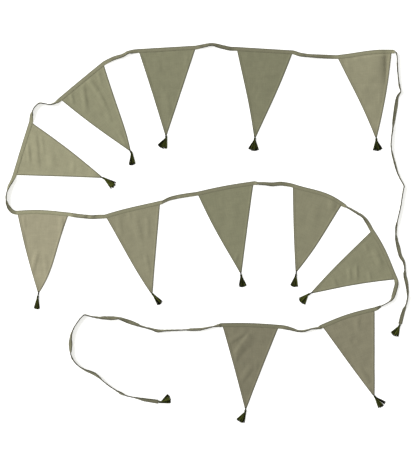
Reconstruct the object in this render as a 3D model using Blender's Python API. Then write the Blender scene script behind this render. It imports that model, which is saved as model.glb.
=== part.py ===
# Fabric bunting lying on a flat surface in three rows, so that its tape runs in an S.
# Twelve bagged-out cotton pennants are caught in one folded tape with two free tie ends.
# A tassel hangs from each pennant's tip and from each end of the tape.
# The tables are in millimetres on the surface, +X to the right and +Y away, +Z up.

import math
import random
from collections import namedtuple

import bmesh
import bpy
from mathutils import Matrix, Vector

MM = 0.001

# The middle of the whole layout, which becomes the origin
LAYOUT_CENTRE = (1.34, 0.04)

CLEARANCE = 0.3
WELD = 0.001
SHARP_ANGLE = 40.0

# Cloth of a pennant: two layers of cotton turned right side out
PENNANT_THICKNESS = 1.2
TIP_WIDTH = 2.6
# How far beyond the tape the cloth has come down to the surface
LANDING = 8.5
# How far from the tape and from the tip a fold reaches its full height
FOLD_START = 21.0
FOLD_STOP = 25.0

# Folded tape: loose runs are closed flat, and it opens into a U where it holds a pennant
TAPE_WIDTH = 11.0
TAPE_THICKNESS = 1.6
TAPE_LAYER = 0.6
SEAT_GAP = PENNANT_THICKNESS + 2 * CLEARANCE
SEAT_THICKNESS = SEAT_GAP + 2 * TAPE_LAYER
SEAT_BACK = 0.7
SEAT_END = 3.0
# What the cloth's top edge stays short of the fold, as the fold runs straight between stations
PENNANT_INSET = 1.5
FOLD_LINE = 0.25
TAPE_STEP = 12.0
TAPE_TWIST_STEP = 16.0
SEAT_STATIONS = 8
SLOPE_STEP = 0.02
TAPE_CORNERS = 6

# Tassel: a thread neck, a tied knot and a flattened skirt of locks
LOCKS_ACROSS = 7
LOCK_LAYERS = 3
SKIRT_ROOT_WIDTH = 6.3
SKIRT_ROOT_HEIGHT = 4.2
LOCK_HEIGHT = 1.1
LOCK_TIP_HEIGHT = 0.8
LAYER_RISE = 1.42
LAYER_TIP_RISE = 1.15
LOCK_MIDDLE = 0.42
LOCK_FILL = 0.62
LOCK_TIP_FILL = 0.42
RAGGED = 0.13
SIDE_SHORTER = 0.08
KNOT_SIDES = 8

# Each pennant, in order along the tape. start and end are where its two sides meet the tape's
# outer edge. A bow is how far a side or the top bulges outwards, and its peak is where along
# that side, from the tape to the tip, or along the top it is greatest. across and down are the
# cloth's grid, finer where it is creased.
Pennant = namedtuple(
    "Pennant",
    "start end tip start_bow start_peak end_bow end_peak top_bow top_peak across down",
)
PENNANTS = [
    Pennant((554, 550), (393, 534), (508, 288), 5.0, 0.50, -3.5, 0.62, 3.5, 0.35, 12, 12),
    Pennant((257, 548), (92, 558), (145, 288), 3.0, 0.40, -3.0, 0.60, 0.0, 0.50, 8, 10),
    Pennant((-35, 562), (-203, 552), (-122, 295), 0.0, 0.50, -1.0, 0.50, 0.0, 0.50, 8, 10),
    Pennant((-315, 511), (-442, 406), (-231, 249), 3.0, 0.75, 3.0, 0.45, 0.5, 0.50, 12, 12),
    Pennant((-533, 333), (-581, 177), (-317, 168), 3.5, 0.50, -0.5, 0.60, 0.5, 0.50, 12, 12),
    Pennant((-568, 67), (-415, 62), (-504, -177), 3.0, 0.50, 8.0, 0.70, 4.5, 0.45, 10, 12),
    Pennant((-304, 56), (-143, 96), (-165, -180), 3.0, 0.65, -0.5, 0.70, 2.0, 0.40, 12, 12),
    Pennant((-28, 124), (138, 155), (102, -118), 4.0, 0.42, -0.5, 0.50, 2.4, 0.50, 8, 10),
    Pennant((262, 147), (410, 91), (269, -114), 1.5, 0.50, 4.5, 0.60, 8.5, 0.62, 10, 12),
    Pennant((501, 10), (572, -135), (317, -178), 2.5, 0.60, -4.0, 0.45, 5.0, 0.42, 12, 12),
    Pennant((501, -223), (345, -274), (501, -486), 0.0, 0.50, 1.0, 0.60, 5.0, 0.50, 8, 10),
    Pennant((215, -275), (48, -270), (117, -525), -1.0, 0.50, -1.0, 0.50, 2.5, 0.50, 12, 12),
]

# Soft folds that lift a pennant off the surface, each a low ridge between two places
Fold = namedtuple("Fold", "pennant start end half_width height")
FOLDS = [
    Fold(1, (513, 540), (510, 424), 27, 6.0),
    Fold(1, (554, 532), (543, 456), 12, 2.5),
    Fold(3, (-122, 424), (-112, 346), 20, 2.0),
    Fold(4, (-343, 456), (-301, 374), 20, 4.5),
    Fold(4, (-371, 446), (-361, 370), 18, 3.2),
    Fold(4, (-408, 422), (-399, 386), 16, 2.4),
    Fold(5, (-514, 300), (-503, 192), 18, 3.6),
    Fold(5, (-560, 250), (-557, 206), 13, 2.2),
    Fold(6, (-508, -56), (-524, -120), 17, 2.4),
    Fold(7, (-215, 56), (-196, -30), 20, 2.8),
    Fold(7, (-264, 54), (-257, -12), 18, 2.0),
    Fold(9, (378, 112), (375, 66), 18, 3.0),
    Fold(9, (330, 95), (300, 20), 22, 1.8),
    Fold(10, (504, -56), (524, -100), 18, 3.0),
    Fold(10, (441, -94), (441, -140), 18, 2.4),
    Fold(11, (451, -402), (489, -452), 18, 2.6),
    Fold(12, (126, -305), (85, -360), 20, 4.6),
    Fold(12, (140, -396), (103, -447), 18, 2.4),
]

# Loose runs of the tape, in order along it. roll is the tape's turn about its own length in
# degrees: 0, 180 and 360 lie flat and 90 stands on edge. The slot is on the left at 0.
Station = namedtuple("Station", "x y roll")
RIGHT_TIE = [
    Station(580, -273, 20),
    Station(585, -252, 17),
    Station(591, -231, 34),
    Station(597, -216, 69),
    Station(602, -195, 68),
    Station(602, -171, 50),
    Station(598, -144, 32),
    Station(594, -126, 36),
    Station(594, -108, 67),
    Station(591, -87, 52),
    Station(581, -69, 32),
    Station(575, -45, 21),
    Station(569, -21, 45),
    Station(567, 0, 68),
    Station(568, 18, 58),
    Station(572, 39, 79),
    Station(581, 78, 76),
    Station(584, 99, 82),
    Station(589, 129, 84),
    Station(591, 141, 75),
    Station(580, 162, 74),
    Station(572, 180, 69),
    Station(565, 204, 58),
    Station(557, 234, 64),
    Station(552, 262, 88),
    Station(557, 309, 71),
    Station(562, 345, 38),
    Station(568, 384, 26),
    Station(572, 408, 54),
    Station(581, 424, 79),
    Station(578, 438, 63),
    Station(574, 465, 75),
    Station(571, 504, 72),
    Station(570, 530, 81),
    Station(567, 541, 82),
]
# The loose run that follows each pennant, by its number
GAPS = {
    1: [Station(355, 529, 12), Station(304, 532, 32), Station(277, 536, 12)],
    2: [Station(70, 553, 10), Station(43, 559, 10), Station(16, 565, 41), Station(-14, 560, 25)],
    3: [Station(-221, 544, 15), Station(-236, 541, 39), Station(-252, 532, 28), Station(-278, 524, 18)],
    4: [Station(-455, 389, 62), Station(-470, 385, 84), Station(-488, 388, 84), Station(-501, 389, 73),
        Station(-513, 380, 78), Station(-521, 367, 80), Station(-525, 352, 35)],
    5: [Station(-583, 157, 35), Station(-592, 141, 49), Station(-598, 123, 80), Station(-601, 105, 72),
        Station(-597, 87, 112), Station(-590, 73, 146), Station(-581, 64, 158)],
    6: [Station(-395, 53, 168), Station(-368, 50, 160), Station(-344, 48, 202), Station(-323, 49, 176)],
    7: [Station(-130, 94, 232), Station(-116, 101, 218), Station(-95, 107, 204), Station(-62, 113, 196)],
    8: [Station(154, 149, 128), Station(175, 148, 141), Station(196, 146, 163), Station(223, 148, 166)],
    9: [Station(420, 78, 110), Station(433, 71, 118), Station(451, 60, 125), Station(467, 50, 128),
        Station(481, 33, 158)],
    10: [Station(569, -153, 215), Station(565, -171, 201), Station(560, -187, 217),
         Station(554, -200, 256), Station(542, -209, 281), Station(526, -217, 272),
         Station(518, -221, 312)],
    11: [Station(334, -284, 428), Station(313, -287, 443), Station(292, -293, 433),
         Station(274, -293, 430), Station(253, -287, 409), Station(235, -283, 384)],
}
LEFT_TIE = [
    Station(34, -277, 420),
    Station(19, -280, 447),
    Station(1, -284, 436),
    Station(-20, -288, 421),
    Station(-41, -289, 419),
    Station(-68, -290, 447),
    Station(-98, -291, 442),
    Station(-128, -292, 435),
    Station(-146, -293, 408),
    Station(-163, -288, 430),
    Station(-182, -283, 441),
    Station(-197, -279, 435),
    Station(-212, -273, 405),
    Station(-230, -267, 374),
    Station(-248, -260, 403),
    Station(-263, -255, 426),
    Station(-284, -255, 388),
    Station(-305, -254, 404),
    Station(-326, -253, 436),
    Station(-350, -249, 450),
    Station(-366, -245, 448),
    Station(-375, -252, 448),
    Station(-389, -270, 446),
    Station(-401, -291, 441),
    Station(-407, -312, 419),
    Station(-408, -333, 383),
    Station(-408, -351, 413),
    Station(-407, -363, 445),
    Station(-401, -378, 450),
    Station(-386, -396, 442),
    Station(-365, -410, 424),
    Station(-350, -416, 404),
    Station(-335, -423, 400),
    Station(-323, -432, 419),
    Station(-311, -443, 437),
    Station(-290, -459, 448),
    Station(-272, -471, 434),
    Station(-257, -480, 412),
    Station(-239, -488, 436),
    Station(-224, -491, 444),
    Station(-206, -495, 420),
    Station(-185, -500, 391),
    Station(-164, -503, 379),
    Station(-145, -506, 368),
]

# Each tassel: the pennant whose tip it hangs from, or a tape end. reach is from there to the
# skirt's root in the direction neck_heading, and the skirt fans out half_spread to each side of
# its own heading. Headings are in degrees from +X towards +Y.
Tassel = namedtuple("Tassel", "hangs_from neck_heading reach heading half_spread length")
TASSELS = [
    Tassel(1, -87, 11.4, -81, 25, 31),
    Tassel(2, -96, 9.5, -97, 25, 33),
    Tassel(3, -85, 10.0, -115, 24, 34),
    Tassel(4, -57, 11.5, -88, 13, 36),
    Tassel(5, -25, 12.6, -37, 17, 37),
    Tassel(6, -98, 19.0, -95, 12, 33),
    Tassel(7, -48, 9.5, -51, 13, 33),
    Tassel(8, -82, 13.6, -82, 18, 31),
    Tassel(9, -97, 16.5, -99, 17, 32),
    Tassel(10, -153, 16.0, -132, 24, 31),
    Tassel(11, -55, 9.5, -48, 22, 34),
    Tassel(12, -97, 12.4, -118, 20, 34),
    Tassel("right_tie", -113, 8.2, -119, 22, 32),
    Tassel("left_tie", -8, 8.2, 24, 25, 31),
]

# The tassel's neck and knot as rings: place is measured back from the skirt's root, and turn is
# the share of the bend between the neck's heading and the skirt's
Ring = namedtuple("Ring", "place width height turn")
KNOT_RINGS = [
    Ring(-7.2, 2.6, 2.4, 0.0),
    Ring(-5.6, 5.4, 4.6, 0.2),
    Ring(-3.2, 5.8, 4.9, 0.4),
    Ring(-1.8, 4.6, 4.2, 0.7),
]
NECK_WIDTH = 2.3
NECK_START = 0.7


def finished_object(bm, name, material):
    """Turn a closed bmesh in millimetres into a named object in metres."""
    bmesh.ops.recalc_face_normals(bm, faces=bm.faces)
    middle = Vector((*LAYOUT_CENTRE, 0.0))
    bmesh.ops.translate(bm, vec=-middle, verts=bm.verts)
    bmesh.ops.scale(bm, vec=(MM, MM, MM), verts=bm.verts)
    mesh = bpy.data.meshes.new(name)
    bm.to_mesh(mesh)
    bm.free()
    mesh.shade_smooth()
    mesh.set_sharp_from_angle(angle=math.radians(SHARP_ANGLE))
    mesh.materials.append(material)
    part = bpy.data.objects.new(name, mesh)
    bpy.context.scene.collection.objects.link(part)
    return part


def make_material(name, colour, roughness):
    material = bpy.data.materials.new(name)
    material.use_nodes = True
    shader = material.node_tree.nodes["Principled BSDF"]
    shader.inputs["Base Color"].default_value = (*colour, 1.0)
    shader.inputs["Roughness"].default_value = roughness
    shader.inputs["Metallic"].default_value = 0.0
    return material


def smooth(share):
    share = min(max(share, 0.0), 1.0)
    return share * share * (3 - 2 * share)


def heading_vector(degrees):
    return Vector((math.cos(math.radians(degrees)), math.sin(math.radians(degrees))))


def pennant_side(number):
    """Which side of the tape's travel the pennant is on: 1 left, -1 right."""
    pennant = PENNANTS[number - 1]
    along = Vector(pennant.end) - Vector(pennant.start)
    to_tip = Vector(pennant.tip) - Vector(pennant.start)
    return 1 if along.cross(to_tip) > 0 else -1


def bulge(share, peak):
    """A smooth hump from 0 to 1 and back that is highest where share is peak."""
    if peak < 0.5:
        return bulge(1 - share, 1 - peak)
    inside = min(max(share, 0.0), 1.0)
    return math.sin(math.pi * inside ** (math.log(0.5) / math.log(peak)))


def top_frame(number, share):
    """A place on the tape's outer edge over a pennant, and the direction from it into the cloth."""
    pennant = PENNANTS[number - 1]
    start = Vector(pennant.start)
    along = Vector(pennant.end) - start
    direction = along.normalized()
    into_cloth = Vector((-direction.y, direction.x)) * pennant_side(number)
    inside = min(max(share, SLOPE_STEP), 1 - SLOPE_STEP)
    ahead = bulge(inside + SLOPE_STEP, pennant.top_peak)
    behind = bulge(inside - SLOPE_STEP, pennant.top_peak)
    slope = pennant.top_bow * (ahead - behind) / (2 * SLOPE_STEP * along.length)
    place = start + along * share - into_cloth * pennant.top_bow * bulge(share, pennant.top_peak)
    return place, (into_cloth + direction * slope).normalized()


def top_line(number, share, inward):
    """A place on the line that runs the given distance inside the tape's outer edge."""
    place, into_cloth = top_frame(number, share)
    return place + into_cloth * inward


def tape_travel(number, share):
    """The direction in which the tape runs over a pennant."""
    _, into_cloth = top_frame(number, share)
    left = into_cloth * pennant_side(number)
    return Vector((left.y, -left.x))


def fold_height(number, place):
    height = 0.0
    for fold in FOLDS:
        if fold.pennant != number:
            continue
        start = Vector(fold.start)
        run = Vector(fold.end) - start
        share = min(max((place - start).dot(run) / run.length_squared, 0.0), 1.0)
        away = (place - start - run * share).length / fold.half_width
        if away < 1:
            height = max(height, fold.height * (1 - away * away) ** 2)
    return height


def pennant_place(number, across, down):
    """A place on the cloth's underside, across and down both running from 0 to 1."""
    pennant = PENNANTS[number - 1]
    rows = pennant.down
    row = round(down * rows)
    if row == 0:
        top = top_line(number, across, SEAT_BACK + CLEARANCE + PENNANT_INSET)
        return Vector((*top, TAPE_LAYER + CLEARANCE))
    mouth = [top_line(number, share, TAPE_WIDTH) for share in (0.0, across, 1.0)]
    tip = Vector(pennant.tip)
    tip_side = (mouth[2] - mouth[0]).normalized() * TIP_WIDTH / 2
    height = (tip - (mouth[0] + mouth[2]) / 2).length
    if row == 1:
        fall = 0.0
    else:
        fall = LANDING / height + (1 - LANDING / height) * (row - 2) / (rows - 2)
    sides = []
    for corner, far_corner, end, bow, peak in (
        (mouth[0], mouth[2], tip - tip_side, pennant.start_bow, pennant.start_peak),
        (mouth[2], mouth[0], tip + tip_side, pennant.end_bow, pennant.end_peak),
    ):
        run = end - corner
        outward = run.orthogonal().normalized()
        if outward.dot(far_corner - corner) > 0:
            outward = -outward
        sides.append(corner + run * fall + outward * bow * bulge(fall, peak))
    crown = mouth[1] - mouth[0].lerp(mouth[2], across)
    place = sides[0].lerp(sides[1], across) + crown * (1 - fall) ** 2
    from_tape = fall * height
    lift = (TAPE_LAYER + CLEARANCE) * (1 - smooth(from_tape / LANDING))
    ease = smooth(from_tape / FOLD_START) * smooth((height - from_tape) / FOLD_STOP)
    return Vector((*place, lift + ease * fold_height(number, place)))


def make_pennant(number, material):
    pennant = PENNANTS[number - 1]
    bm = bmesh.new()
    bmesh.ops.create_grid(bm, x_segments=pennant.across, y_segments=pennant.down, size=0.5)
    for vert in bm.verts:
        vert.co = pennant_place(number, vert.co.x + 0.5, vert.co.y + 0.5)
    top = bmesh.ops.extrude_face_region(bm, geom=bm.faces[:])
    lifted = [item for item in top["geom"] if isinstance(item, bmesh.types.BMVert)]
    bmesh.ops.translate(bm, vec=(0, 0, PENNANT_THICKNESS), verts=lifted)
    return finished_object(bm, f"pennant_{number:02d}", material)


def tape_stations():
    """The whole route as (place, roll, pennant number or 0), from one free end to the other."""
    route = [(Vector((s.x, s.y)), s.roll, 0) for s in RIGHT_TIE]
    for number in range(1, len(PENNANTS) + 1):
        half_turns = 0 if number < 6 else 1 if number < 11 else 2
        seat = [
            top_line(number, step / SEAT_STATIONS, TAPE_WIDTH / 2)
            for step in range(SEAT_STATIONS + 1)
        ]
        seat.insert(0, seat[0] - tape_travel(number, 0.0) * SEAT_END)
        seat.append(seat[-1] + tape_travel(number, 1.0) * SEAT_END)
        route += [(place, 180 * half_turns, number) for place in seat]
        loose = GAPS.get(number, LEFT_TIE)
        route += [(Vector((s.x, s.y)), s.roll, 0) for s in loose]
    return route


def curve_place(before, start, end, after, share):
    """A smooth curve through all four places, read between the middle two."""
    knots = [0.0]
    for first, second in ((before, start), (start, end), (end, after)):
        knots.append(knots[-1] + math.sqrt((second - first).length))
    at = knots[1] + share * (knots[2] - knots[1])

    def between(low_place, high_place, low, high):
        return low_place.lerp(high_place, (at - knots[low]) / (knots[high] - knots[low]))

    first = between(before, start, 0, 1)
    second = between(start, end, 1, 2)
    third = between(end, after, 2, 3)
    return between(between(first, second, 0, 2), between(second, third, 1, 3), 1, 2)


Section = namedtuple("Section", "place roll half_thickness half_gap pennant")


def tape_sections():
    """Cross sections of the tape at even steps along its route."""
    route = tape_stations()
    sections = []
    for index in range(len(route) - 1):
        (start, start_roll, start_seat), (end, end_roll, end_seat) = route[index:index + 2]
        before = route[index - 1][0] if index else start * 2 - end
        after = route[index + 2][0] if index + 2 < len(route) else end * 2 - start
        seated = start_seat and end_seat
        twist_steps = math.ceil(abs(end_roll - start_roll) / TAPE_TWIST_STEP)
        steps = 1 if seated else max(1, twist_steps, round((end - start).length / TAPE_STEP))
        for step in range(steps):
            share = step / steps
            place = curve_place(before, start, end, after, share)
            roll = start_roll + (end_roll - start_roll) * smooth(share)
            is_seat = start_seat and step == 0
            thickness = SEAT_THICKNESS if is_seat else TAPE_THICKNESS
            gap = SEAT_GAP if is_seat else FOLD_LINE
            sections.append(Section(place, roll, thickness / 2, gap / 2, start_seat if is_seat else 0))
    place, roll, _ = route[-1]
    sections.append(Section(place, roll, TAPE_THICKNESS / 2, FOLD_LINE / 2, 0))
    return sections


def section_axes(sections, index):
    """The directions across the tape, towards its slot, and through its thickness."""
    ahead = sections[min(index + 1, len(sections) - 1)].place - sections[index].place
    behind = sections[index].place - sections[max(index - 1, 0)].place
    travel = (ahead.normalized() + behind.normalized()).normalized()
    left = Vector((-travel.y, travel.x, 0.0))
    up = Vector((0.0, 0.0, 1.0))
    roll = math.radians(sections[index].roll)
    across = left * math.cos(roll) + up * math.sin(roll)
    through = up * math.cos(roll) - left * math.sin(roll)
    return across, through


def split_flat_sides(bm, section_of, corner_of):
    """Split both flat sides along the same slant, so that they stay apart where the tape twists."""
    for face in bm.faces[:]:
        if {vert[corner_of] for vert in face.verts} not in ({0, 1}, {4, 5}):
            continue
        first = min(vert[section_of] for vert in face.verts)
        back = next(v for v in face.verts if v[section_of] == first and v[corner_of] in (0, 5))
        front = next(v for v in face.verts if v[section_of] > first and v[corner_of] in (1, 4))
        bmesh.utils.face_split(face, back, front)


def make_tape(material):
    sections = tape_sections()
    axes = [section_axes(sections, index) for index in range(len(sections))]
    half = TAPE_WIDTH / 2
    bm = bmesh.new()
    section_of = bm.verts.layers.int.new("section")
    corner_of = bm.verts.layers.int.new("corner")
    bmesh.ops.create_grid(bm, x_segments=len(sections) - 1, y_segments=TAPE_CORNERS, size=0.5)
    for vert in bm.verts:
        index = round((vert.co.x + 0.5) * (len(sections) - 1))
        corner = round((vert.co.y + 0.5) * TAPE_CORNERS) % TAPE_CORNERS
        section = sections[index]
        across, through = axes[index]
        thick = section.half_thickness
        gap = section.half_gap
        corners = [
            (-half, -thick),
            (half, -thick),
            (half, -gap),
            (half, gap),
            (half, thick),
            (-half, thick),
        ]
        roll = math.radians(section.roll)
        height = half * abs(math.sin(roll)) + thick * abs(math.cos(roll))
        away, rise = corners[corner]
        vert.co = Vector((*section.place, height)) + across * away + through * rise
        vert[section_of] = index
        vert[corner_of] = corner
    slot_faces = []
    for face in bm.faces:
        seats = {sections[vert[section_of]].pennant for vert in face.verts}
        if len(seats) == 1 and seats != {0} and {vert[corner_of] for vert in face.verts} == {2, 3}:
            slot_faces.append(face)
    slot = bmesh.ops.extrude_face_region(bm, geom=slot_faces)
    for item in slot["geom"]:
        if isinstance(item, bmesh.types.BMVert):
            item.co -= axes[item[section_of]][0] * (TAPE_WIDTH - SEAT_BACK)
    bmesh.ops.delete(bm, geom=slot_faces, context="FACES")
    bmesh.ops.remove_doubles(bm, verts=bm.verts, dist=WELD)
    rims = [edge for edge in bm.edges if edge.is_boundary]
    bmesh.ops.holes_fill(bm, edges=rims, sides=TAPE_CORNERS)
    split_flat_sides(bm, section_of, corner_of)
    bm.verts.layers.int.remove(section_of)
    bm.verts.layers.int.remove(bm.verts.layers.int["corner"])
    return finished_object(bm, "tape", material)


def ring_of_verts(bm, place, width, height, heading, sides):
    """A closed loop of edges that stands across the heading and touches the surface."""
    turn = Matrix.Rotation(math.radians(heading), 4, "Z") @ Matrix.Rotation(math.radians(90), 4, "Y")
    stretch = Matrix.Diagonal((height / 2, width / 2, 1.0, 1.0))
    move = Matrix.Translation(Vector((*place, height / 2)))
    ring = bmesh.ops.create_circle(bm, segments=sides, radius=1.0, matrix=move @ turn @ stretch)
    edges = {edge for vert in ring["verts"] for edge in vert.link_edges}
    return sorted(edges, key=lambda e: e.index)


def set_lock_end(face, centre, across, width, low, high):
    """Move a lock's end face to its place, keeping each corner on its own side."""
    middle = face.calc_center_median()
    flat_across = Vector((*across, 0.0))
    for vert in face.verts:
        side = 1 if (vert.co - middle).dot(flat_across) > 0 else -1
        ground = centre + across * side * width / 2
        vert.co = Vector((*ground, high if vert.co.z > middle.z else low))


def make_skirt(bm, root, tassel, chance):
    """The divided root face and the locks that grow out of it, which rest on the surface."""
    turn = Matrix.Rotation(math.radians(tassel.heading), 4, "Z") @ Matrix.Rotation(math.radians(90), 4, "Y")
    stretch = Matrix.Diagonal((SKIRT_ROOT_HEIGHT, SKIRT_ROOT_WIDTH, 1.0, 1.0))
    move = Matrix.Translation(Vector((*root, SKIRT_ROOT_HEIGHT / 2)))
    grid = bmesh.ops.create_grid(bm, x_segments=LOCK_LAYERS, y_segments=LOCKS_ACROSS, size=0.5,
                                 matrix=move @ turn @ stretch)
    faces = list({face for vert in grid["verts"] for face in vert.link_faces})
    left = heading_vector(tassel.heading + 90)
    centre_of = {face: face.calc_center_median() for face in faces}
    faces.sort(key=lambda f: (round(centre_of[f].z, 2), (centre_of[f].xy - root).dot(left)))
    rim = [edge for edge in {e for f in faces for e in f.edges} if edge.is_boundary]
    step = 2 * tassel.half_spread / (LOCKS_ACROSS - 1)
    for index, face in enumerate(faces):
        layer, column = divmod(index, LOCKS_ACROSS)
        side = 2 * column / (LOCKS_ACROSS - 1) - 1
        stagger = (layer - (LOCK_LAYERS - 1) / 2) * step / LOCK_LAYERS
        heading = tassel.heading + side * tassel.half_spread + stagger
        outward = heading_vector(heading)
        across = heading_vector(heading + 90)
        start = face.calc_center_median().xy
        length = tassel.length * (1 - RAGGED * chance.random() - SIDE_SHORTER * side * side)
        for share, fill, low, high in (
            (LOCK_MIDDLE, LOCK_FILL, LAYER_RISE * layer, LAYER_RISE * layer + LOCK_HEIGHT),
            (1.0, LOCK_TIP_FILL, LAYER_TIP_RISE * layer, LAYER_TIP_RISE * layer + LOCK_TIP_HEIGHT),
        ):
            spacing = SKIRT_ROOT_WIDTH / LOCKS_ACROSS + math.radians(step) * length * share
            face = bmesh.ops.extrude_discrete_faces(bm, faces=[face])["faces"][0]
            set_lock_end(face, start + outward * length * share, across, spacing * fill, low, high)
    return rim


def make_tassel(number, material):
    tassel = TASSELS[number - 1]
    neck = heading_vector(tassel.neck_heading)
    if tassel.hangs_from == "right_tie":
        anchor = Vector(RIGHT_TIE[0][:2])
    elif tassel.hangs_from == "left_tie":
        anchor = Vector(LEFT_TIE[-1][:2])
    else:
        anchor = Vector(PENNANTS[tassel.hangs_from - 1].tip)
    chance = random.Random(number)
    bm = bmesh.new()
    first = Ring(NECK_START - tassel.reach, NECK_WIDTH, NECK_WIDTH, 0.0)
    loops = []
    for ring in [first] + KNOT_RINGS:
        heading = tassel.neck_heading + (tassel.heading - tassel.neck_heading) * ring.turn
        place = anchor + neck * (tassel.reach + ring.place)
        loops.append(ring_of_verts(bm, place, ring.width, ring.height, heading, KNOT_SIDES))
    bmesh.ops.holes_fill(bm, edges=loops[0], sides=KNOT_SIDES)
    loops.append(make_skirt(bm, anchor + neck * tassel.reach, tassel, chance))
    for one, other in zip(loops, loops[1:]):
        bmesh.ops.bridge_loops(bm, edges=one + other)
    return finished_object(bm, f"tassel_{number:02d}", material)


def main():
    for old in list(bpy.data.objects):
        bpy.data.objects.remove(old, do_unlink=True)
    cloth = make_material("sage_cotton_cloth", (0.262, 0.256, 0.162), 0.9)
    folded = make_material("sage_cotton_tape", (0.235, 0.230, 0.150), 0.88)
    yarn = make_material("olive_tassel_yarn", (0.028, 0.035, 0.010), 0.8)
    for number in range(1, len(PENNANTS) + 1):
        make_pennant(number, cloth)
    make_tape(folded)
    for number in range(1, len(TASSELS) + 1):
        make_tassel(number, yarn)


main()
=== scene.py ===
import bisect
import math
import random

import bmesh
import bpy
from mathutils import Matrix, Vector, noise


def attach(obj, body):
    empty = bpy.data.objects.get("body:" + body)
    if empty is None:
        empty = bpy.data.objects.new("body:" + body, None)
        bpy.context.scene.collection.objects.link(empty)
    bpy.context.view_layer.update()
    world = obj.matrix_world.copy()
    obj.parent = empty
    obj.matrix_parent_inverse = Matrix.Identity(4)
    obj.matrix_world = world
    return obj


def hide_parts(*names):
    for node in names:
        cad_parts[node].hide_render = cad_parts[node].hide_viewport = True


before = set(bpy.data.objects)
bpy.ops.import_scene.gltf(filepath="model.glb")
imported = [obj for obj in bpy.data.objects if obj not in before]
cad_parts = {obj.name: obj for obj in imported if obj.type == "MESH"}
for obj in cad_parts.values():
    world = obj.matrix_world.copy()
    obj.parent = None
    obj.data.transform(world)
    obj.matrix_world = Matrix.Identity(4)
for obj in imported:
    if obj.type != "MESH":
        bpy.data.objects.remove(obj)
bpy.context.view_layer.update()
print("packed model loaded")

# The layout is in millimetres on the floor, +X right and +Y away, as a maker would measure it.
# layoutMiddle is the point of it that lies at the model's origin.
mm = 0.001
layoutMiddle = Vector((1.34, 0.04))


def inFrame(place):
    return Vector((place[0] - layoutMiddle.x, place[1] - layoutMiddle.y, place[2])) * mm


def smooth(share):
    share = min(max(share, 0.0), 1.0)
    return share * share * (3 - 2 * share)


def headingVector(degrees):
    return Vector((math.cos(math.radians(degrees)), math.sin(math.radians(degrees))))


def mixed(one, other, share):
    return one + (other - one) * share


# The camera comes first, straight above the middle of the picture
cameraSetup = {
    "middle": (5.5, 10.5),  # what the picture's centre looks at, in layout millimetres
    "frameHeight": 1377.0,  # millimetres of floor from the picture's top to its bottom
    "lens": 85.0,
    "sensor": 36.0,
    "nearest": 0.05,  # metres from the camera
    "farthest": 60.0,
}


def makeCamera(setup):
    camera = bpy.data.objects.new("cameraAbove", bpy.data.cameras.new("cameraAbove"))
    camera.data.lens = setup["lens"]
    camera.data.sensor_width = setup["sensor"]
    height = setup["frameHeight"] * setup["lens"] / setup["sensor"]
    camera.location = inFrame((*setup["middle"], height))
    camera.data.clip_start = setup["nearest"]
    camera.data.clip_end = setup["farthest"]
    bpy.context.scene.collection.objects.link(camera)
    bpy.context.scene.camera = camera


makeCamera(cameraSetup)
print("camera set")


def toLinear(hexColour):
    values = [int(hexColour[at:at + 2], 16) / 255 for at in (1, 3, 5)]
    return [v / 12.92 if v <= 0.04045 else ((v + 0.055) / 1.055) ** 2.4 for v in values] + [1.0]


def tonedColour(cloth, amount, faded):
    # the cloth's colour scaled by amount, which is its tone or a painted edge shade, and tinted as far as
    # it has faded
    colour = toLinear(cloth["colour"])
    return [c * amount * (1 + faded * tint) for c, tint in zip(colour, cloth["fadedTint"])] + [1.0]


def addNode(tree, kind, settings=None, links=None):
    node = tree.nodes.new(kind)
    for name, value in (settings or {}).items():
        setattr(node, name, value)
    for socket, value in (links or {}).items():
        if isinstance(value, bpy.types.NodeSocket):
            tree.links.new(value, node.inputs[socket])
        else:
            node.inputs[socket].default_value = value
    return node


def newMaterial(name, shaderValues):
    material = bpy.data.materials.new(name)
    material.use_nodes = True
    shader = material.node_tree.nodes["Principled BSDF"]
    for socket, value in shaderValues.items():
        shader.inputs[socket].default_value = value
    return material, material.node_tree, shader


def newFabric(name, fabric):
    shaderValues = {
        "Roughness": fabric["roughness"],
        "Specular IOR Level": fabric["shine"],
        "Sheen Weight": fabric["sheen"],
        "Sheen Roughness": fabric["sheenRoughness"],
    }
    return newMaterial(name, shaderValues)


# Plain-woven cotton, piece-dyed sage green and washed: quite matt, with a soft bloom at grazing
# light, faint lengthwise and crosswise slubs, and painted shade along its seams and edges.
cottonCloth = {
    "colour": "#908F73",
    "deepThread": 0.86,  # the thread shades, as shares of the colour
    "paleThread": 1.14,
    "fadedTint": (0.05, -0.01, 0.06),  # what fading adds to red, green and blue, as shares
    # the colour of the painted shade along edges, as a share of the colour
    "paintedEdgeShade": 0.46,
    "roughness": 0.9,
    "shine": 0.2,
    "sheen": 0.12,
    "sheenRoughness": 0.45,
    "threadSpacing": 1.3,  # really about 0.45 mm, drawn coarser so that the weave shows at all
    "slubWidth": 2.6,
    "slubLength": 34.0,
    "washPatch": 26.0,  # size of the uneven patches that washing leaves
    "threadBend": 0.6,  # how far the threads wander
    "relief": 0.16,
    "reliefStrength": 0.55,
    "weaveTone": 0.35,  # how much of the tone each pattern brings
    "slubTone": 0.8,
    "washTone": 0.9,
    "toneStart": -0.75,
    "roughnessSpread": (-0.06, 0.05),
}
waveTurn = 2 * math.pi / 20  # a Wave Texture at scale 1 repeats after this much


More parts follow.
